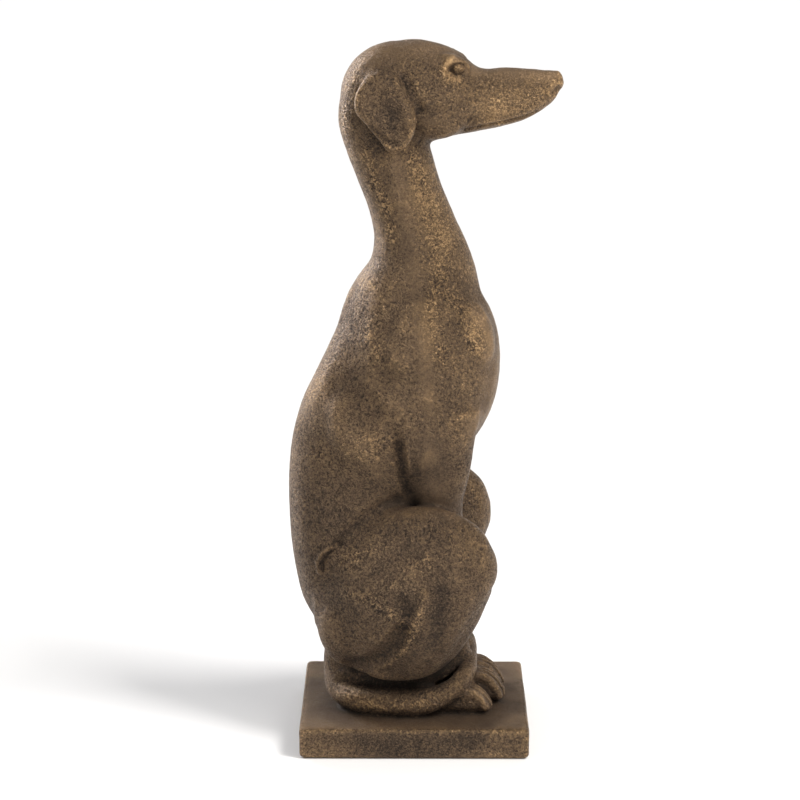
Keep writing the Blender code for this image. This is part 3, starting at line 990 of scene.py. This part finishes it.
def mark_patina(mesh):
    """Stores the hollow, worn and smoother places, how closed in each point is for painted shade, the painted
    shade and highlights, and the crests worn to gold that are partly painted highlights, which the material
    reads.
    """
    points = points_of(mesh)
    normals = normals_of(mesh)
    near = Neighbours(edges_of(mesh), len(points))
    # Figure units are kept for distances from the smoothed surface
    sunk = np.einsum("ij,ij->i", near.spread(points, FINE_ROUNDS) - points, normals) / UNIT
    broad = np.einsum("ij,ij->i", near.spread(points, BROAD_ROUNDS) - points, normals) / UNIT
    sunk = near.spread(sunk, 1)
    hollow = smoothstep(*FINE_HOLLOW, sunk) + BROAD_HOLLOW_SHARE * smoothstep(*BROAD_HOLLOW, broad)
    worn = smoothstep(*FINE_WORN, -sunk) + BROAD_WORN_SHARE * smoothstep(*BROAD_WORN, -broad)
    store(mesh, "hollow", np.clip(hollow, 0, 1))
    store(mesh, "worn", np.clip(worn, 0, 1))
    # Painted shade where the figure closes in over a point
    store(mesh, "painted_occlusion_shade", painted_occlusion_shade(points, near))
    side_view = np.stack([points[:, 0], points[:, 2] - PLINTH_THICKNESS], axis=1) / UNIT
    smooth = np.zeros(len(points))
    for line, width, amount in SMOOTH_PLACES:
        smooth = np.maximum(smooth, amount * bump(distance_to_line(side_view, line), width))
    # Painted shade in recesses, and painted highlights where the amount is below 0
    store(mesh, "painted_shade_and_highlight", lines_height(side_view, PAINTED_SHADE_AND_HIGHLIGHTS))
    # Crests worn to gold, partly painted highlights
    store(mesh, "rubbed_gold_and_highlight", lines_height(side_view, RUBBED_GOLD_AND_HIGHLIGHTS))
    top = smoothstep(*PLINTH_TOP_LEVEL, normals[:, 2]) * (np.abs(side_view[:, 1]) < PLINTH_TOP_WITHIN)
    store(mesh, "smooth", np.maximum(smooth, PLINTH_TOP_SMOOTH * top))


def make_casting(collection):
    """The figure and its plinth as one fine mesh."""
    mesh = bpy.data.meshes.new("greyhound")
    clay = block_out()
    add_plinth(clay)
    mesh.from_pydata(clay.points, [], clay.faces)
    casting = bpy.data.objects.new("bronze_greyhound_casting", mesh)
    collection.objects.link(casting)
    remesh = casting.modifiers.new("one skin", "REMESH")
    remesh.mode = "VOXEL"
    remesh.voxel_size = VOXEL
    apply_modifiers(casting)
    fill_creases(casting.data)
    settle(casting.data)
    carve(casting.data)
    points = points_of(casting.data)
    bottom = -PLINTH_THICKNESS / UNIT
    points[:, 2] = np.where(points[:, 2] < bottom + FLAT_WITHIN, bottom, points[:, 2])
    set_points(casting.data, points)
    casting.data.calc_loop_triangles()
    thin = casting.modifiers.new("fewer faces", "DECIMATE")
    thin.ratio = min(1, MOST_TRIANGLES / len(casting.data.loop_triangles))
    thin.use_collapse_triangulate = True
    thin.vertex_group = mark_plain_surface(casting).name
    thin.vertex_group_factor = DETAIL_FACTOR
    apply_modifiers(casting)
    casting.vertex_groups.clear()
    casting.data.transform(Matrix.Translation((0, 0, PLINTH_THICKNESS)) @ Matrix.Scale(UNIT, 4))
    casting.data.shade_smooth()
    mark_patina(casting.data)
    return casting


class Nodes:
    """Adds nodes to a material's tree. A value that is a socket is linked, and any other is set."""

    def __init__(self, tree):
        self.tree = tree

    def add(self, kind, values=None, output=0, **settings):
        made = self.tree.nodes.new(kind)
        for name, value in settings.items():
            setattr(made, name, value)
        for socket, value in (values or {}).items():
            if isinstance(value, bpy.types.NodeSocket):
                self.tree.links.new(value, made.inputs[socket])
            else:
                made.inputs[socket].default_value = value
        return made.outputs[output]

    def math(self, operation, a, b=0.0):
        return self.add("ShaderNodeMath", {0: a, 1: b}, operation=operation)

    def multiply(self, a, b):
        return self.math("MULTIPLY", a, b)

    def link(self, value, shader, socket):
        self.tree.links.new(value, shader.inputs[socket])

    def attribute(self, name):
        return self.add("ShaderNodeAttribute", output="Fac", attribute_name=name)

    def noise(self, place, name):
        scale, detail, roughness, distortion = NOISES[name]
        values = {
            "Vector": place,
            "Scale": scale,
            "Detail": detail,
            "Roughness": roughness,
            "Distortion": distortion,
        }
        return self.add("ShaderNodeTexNoise", values)

    def ramp(self, value, name):
        low, high, to_low, to_high = (*RAMPS[name], 0.0, 1.0)[:4]
        values = {"Value": value, "From Min": low, "From Max": high, "To Min": to_low, "To Max": to_high}
        return self.add("ShaderNodeMapRange", values, interpolation_type="SMOOTHSTEP")

    def colours(self, value, stops):
        ramp = self.tree.nodes.new("ShaderNodeValToRGB")
        steps = ramp.color_ramp.elements
        while len(steps) < len(stops):
            steps.new(0.5)
        for step, (place, colour) in zip(steps, stops):
            step.position = place
            step.color = (*colour, 1)
        self.tree.links.new(value, ramp.inputs[0])
        return ramp.outputs[0]


def bronze_patina():
    """Brown patina with gold on the high grains, partly painted highlights, dark in the pits and hollows,
    with painted shade in closed-in places, in recesses and low down, and painted highlights on lit places.
    """
    material = bpy.data.materials.new("antique bronze patina")
    material.use_nodes = True
    nodes = Nodes(material.node_tree)
    shader = material.node_tree.nodes["Principled BSDF"]
    place = nodes.add("ShaderNodeTexCoord", output="Object")
    height = nodes.add("ShaderNodeSeparateXYZ", {0: place}, output="Z")
    # Crests worn to gold, partly painted highlights
    rubbed_gold_and_highlight = nodes.attribute("rubbed_gold_and_highlight")
    rough = nodes.math("SUBTRACT", 1.0, nodes.attribute("smooth"))

    # The cast skin: fine winding pits all over, coarser ones in places, and a fine grain
    zones = nodes.ramp(nodes.noise(place, "zones"), "zones")
    fine = nodes.noise(place, "fine")
    coarse = nodes.noise(place, "coarse")
    grain = nodes.noise(place, "grain")
    winding = nodes.math("ABSOLUTE", nodes.math("SUBTRACT", nodes.noise(place, "winding"), NOISE_MIDDLE))
    cracks = nodes.multiply(nodes.ramp(winding, "cracks"), rough)
    fine_share = nodes.multiply(rough, nodes.ramp(zones, "fine share"))
    coarse_share = nodes.multiply(rough, nodes.ramp(zones, "coarse share"))
    coarse_share = nodes.math("ADD", coarse_share, nodes.multiply(rubbed_gold_and_highlight, RUBBED_COARSE))
    # Painted shade: the haunches and the belly are darker than what stands above them, and the plinth is not
    low = nodes.multiply(nodes.ramp(height, "below the chest"), nodes.ramp(height, "above the feet"))

    parts = {
        "grain": nodes.math("SUBTRACT", grain, NOISE_MIDDLE),
        "patches": nodes.math("SUBTRACT", nodes.noise(place, "patches"), NOISE_MIDDLE),
        "fine crest": nodes.multiply(nodes.ramp(fine, "fine crest"), fine_share),
        "coarse crest": nodes.multiply(nodes.ramp(coarse, "coarse crest"), coarse_share),
        "fine pit": nodes.multiply(nodes.ramp(fine, "fine pit"), fine_share),
        "coarse pit": nodes.multiply(nodes.ramp(coarse, "coarse pit"), coarse_share),
        "cracks": cracks,
        "worn": nodes.attribute("worn"),
        "hollow": nodes.attribute("hollow"),
        # Painted shade where the figure closes in over a point
        "painted_occlusion_shade": nodes.ramp(nodes.attribute("painted_occlusion_shade"), "painted_occlusion_shade"),
        # Painted shade in recesses, and painted highlights where the amount is below 0
        "painted_shade_and_highlight": nodes.attribute("painted_shade_and_highlight"),
        # Painted shade low on the figure
        "low": nodes.multiply(low, nodes.ramp(height, "above the plinth")),
        # Painted shade: the plinth's faces are a little darker than its top
        "painted_plinth_side_shade": nodes.ramp(height, "painted_plinth_side_shade"),
        "smooth": nodes.attribute("smooth"),
        # Crests worn to gold, partly painted highlights
        "gold": nodes.multiply(nodes.ramp(coarse, "gold"), rubbed_gold_and_highlight),
    }
    tone = TONE_LEVEL
    for name, share in TONE_SHARES.items():
        tone = nodes.math("ADD", tone, nodes.multiply(parts[name], share))
    tone = nodes.math("MAXIMUM", tone, 0.0)
    nodes.link(nodes.colours(tone, PATINA), shader, "Base Color")
    nodes.link(nodes.ramp(tone, "roughness"), shader, "Roughness")
    shader.inputs["Metallic"].default_value = METALLIC

    fine_relief = nodes.multiply(fine, nodes.multiply(fine_share, FINE_RELIEF))
    relief = nodes.math("ADD", fine_relief, nodes.multiply(coarse, coarse_share))
    relief = nodes.math("SUBTRACT", relief, nodes.multiply(cracks, CRACK_RELIEF))
    relief = nodes.math("ADD", relief, nodes.multiply(grain, GRAIN_RELIEF))
    values = {"Strength": 1.0, "Distance": RELIEF_HEIGHT, "Height": relief}
    nodes.link(nodes.add("ShaderNodeBump", values), shader, "Normal")
    return material


def floor_finish():
    material = bpy.data.materials.new("pale floor")
    material.use_nodes = True
    shader = material.node_tree.nodes["Principled BSDF"]
    shader.inputs["Base Color"].default_value = FLOOR_COLOUR
    shader.inputs["Roughness"].default_value = FLOOR_ROUGHNESS
    shader.inputs["Specular IOR Level"].default_value = FLOOR_SHINE
    return material


def make_floor(collection):
    mesh = bpy.data.meshes.new("floor")
    sheet = bmesh.new()
    bmesh.ops.create_grid(sheet, x_segments=1, y_segments=1, size=FLOOR_HALF_SIZE)
    sheet.to_mesh(mesh)
    sheet.free()
    floor = bpy.data.objects.new("floor", mesh)
    floor.location.z = FLOOR_HEIGHT
    mesh.materials.append(floor_finish())
    collection.objects.link(floor)


def soft_light(name, place, size, power, colour, spread, collection):
    """A square light that faces the middle of the statue. A narrow spread keeps more of it off the floor."""
    light = bpy.data.lights.new(name, "AREA")
    light.size = size
    light.energy = power
    light.color = colour
    light.spread = math.radians(spread)
    lamp = bpy.data.objects.new(name, light)
    lamp.location = place
    aim = Vector(LIT_POINT) - Vector(place)
    lamp.rotation_euler = aim.to_track_quat("-Z", "Y").to_euler()
    collection.objects.link(lamp)


def light_the_studio(collection):
    world = bpy.data.worlds.new("studio")
    bpy.context.scene.world = world
    world.use_nodes = True
    world.node_tree.nodes["Background"].inputs["Color"].default_value = SKY_COLOUR
    world.node_tree.nodes["Background"].inputs["Strength"].default_value = SKY_STRENGTH
    sun = bpy.data.lights.new("key light", "SUN")
    sun.energy = SUN_POWER
    sun.angle = math.radians(SUN_ANGLE)
    sun.color = SUN_COLOUR
    lamp = bpy.data.objects.new("key light", sun)
    lamp.rotation_euler = Vector(SUN_WAY).to_track_quat("-Z", "Y").to_euler()
    collection.objects.link(lamp)
    for settings in SOFT_LIGHTS:
        soft_light(*settings, collection)


def aim_camera(collection):
    camera = bpy.data.cameras.new("camera")
    camera.lens = LENS
    camera.sensor_width = SENSOR_WIDTH
    camera.clip_end = CLIP_END
    viewer = bpy.data.objects.new("camera", camera)
    viewer.location = CAMERA_PLACE
    viewer.rotation_euler = (math.radians(90 - CAMERA_DOWN), 0, math.radians(CAMERA_TURN))
    collection.objects.link(viewer)
    bpy.context.scene.camera = viewer


def new_collection(name):
    made = bpy.data.collections.new(name)
    bpy.context.scene.collection.children.link(made)
    return made


def main():
    studio = new_collection("studio")
    aim_camera(studio)
    light_the_studio(studio)
    make_floor(studio)
    casting = make_casting(new_collection("greyhound statue"))
    casting.data.materials.append(bronze_patina())
    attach(casting, "root")
    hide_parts(NODE)


main()
bpy.context.scene.view_settings.view_transform = "Standard"
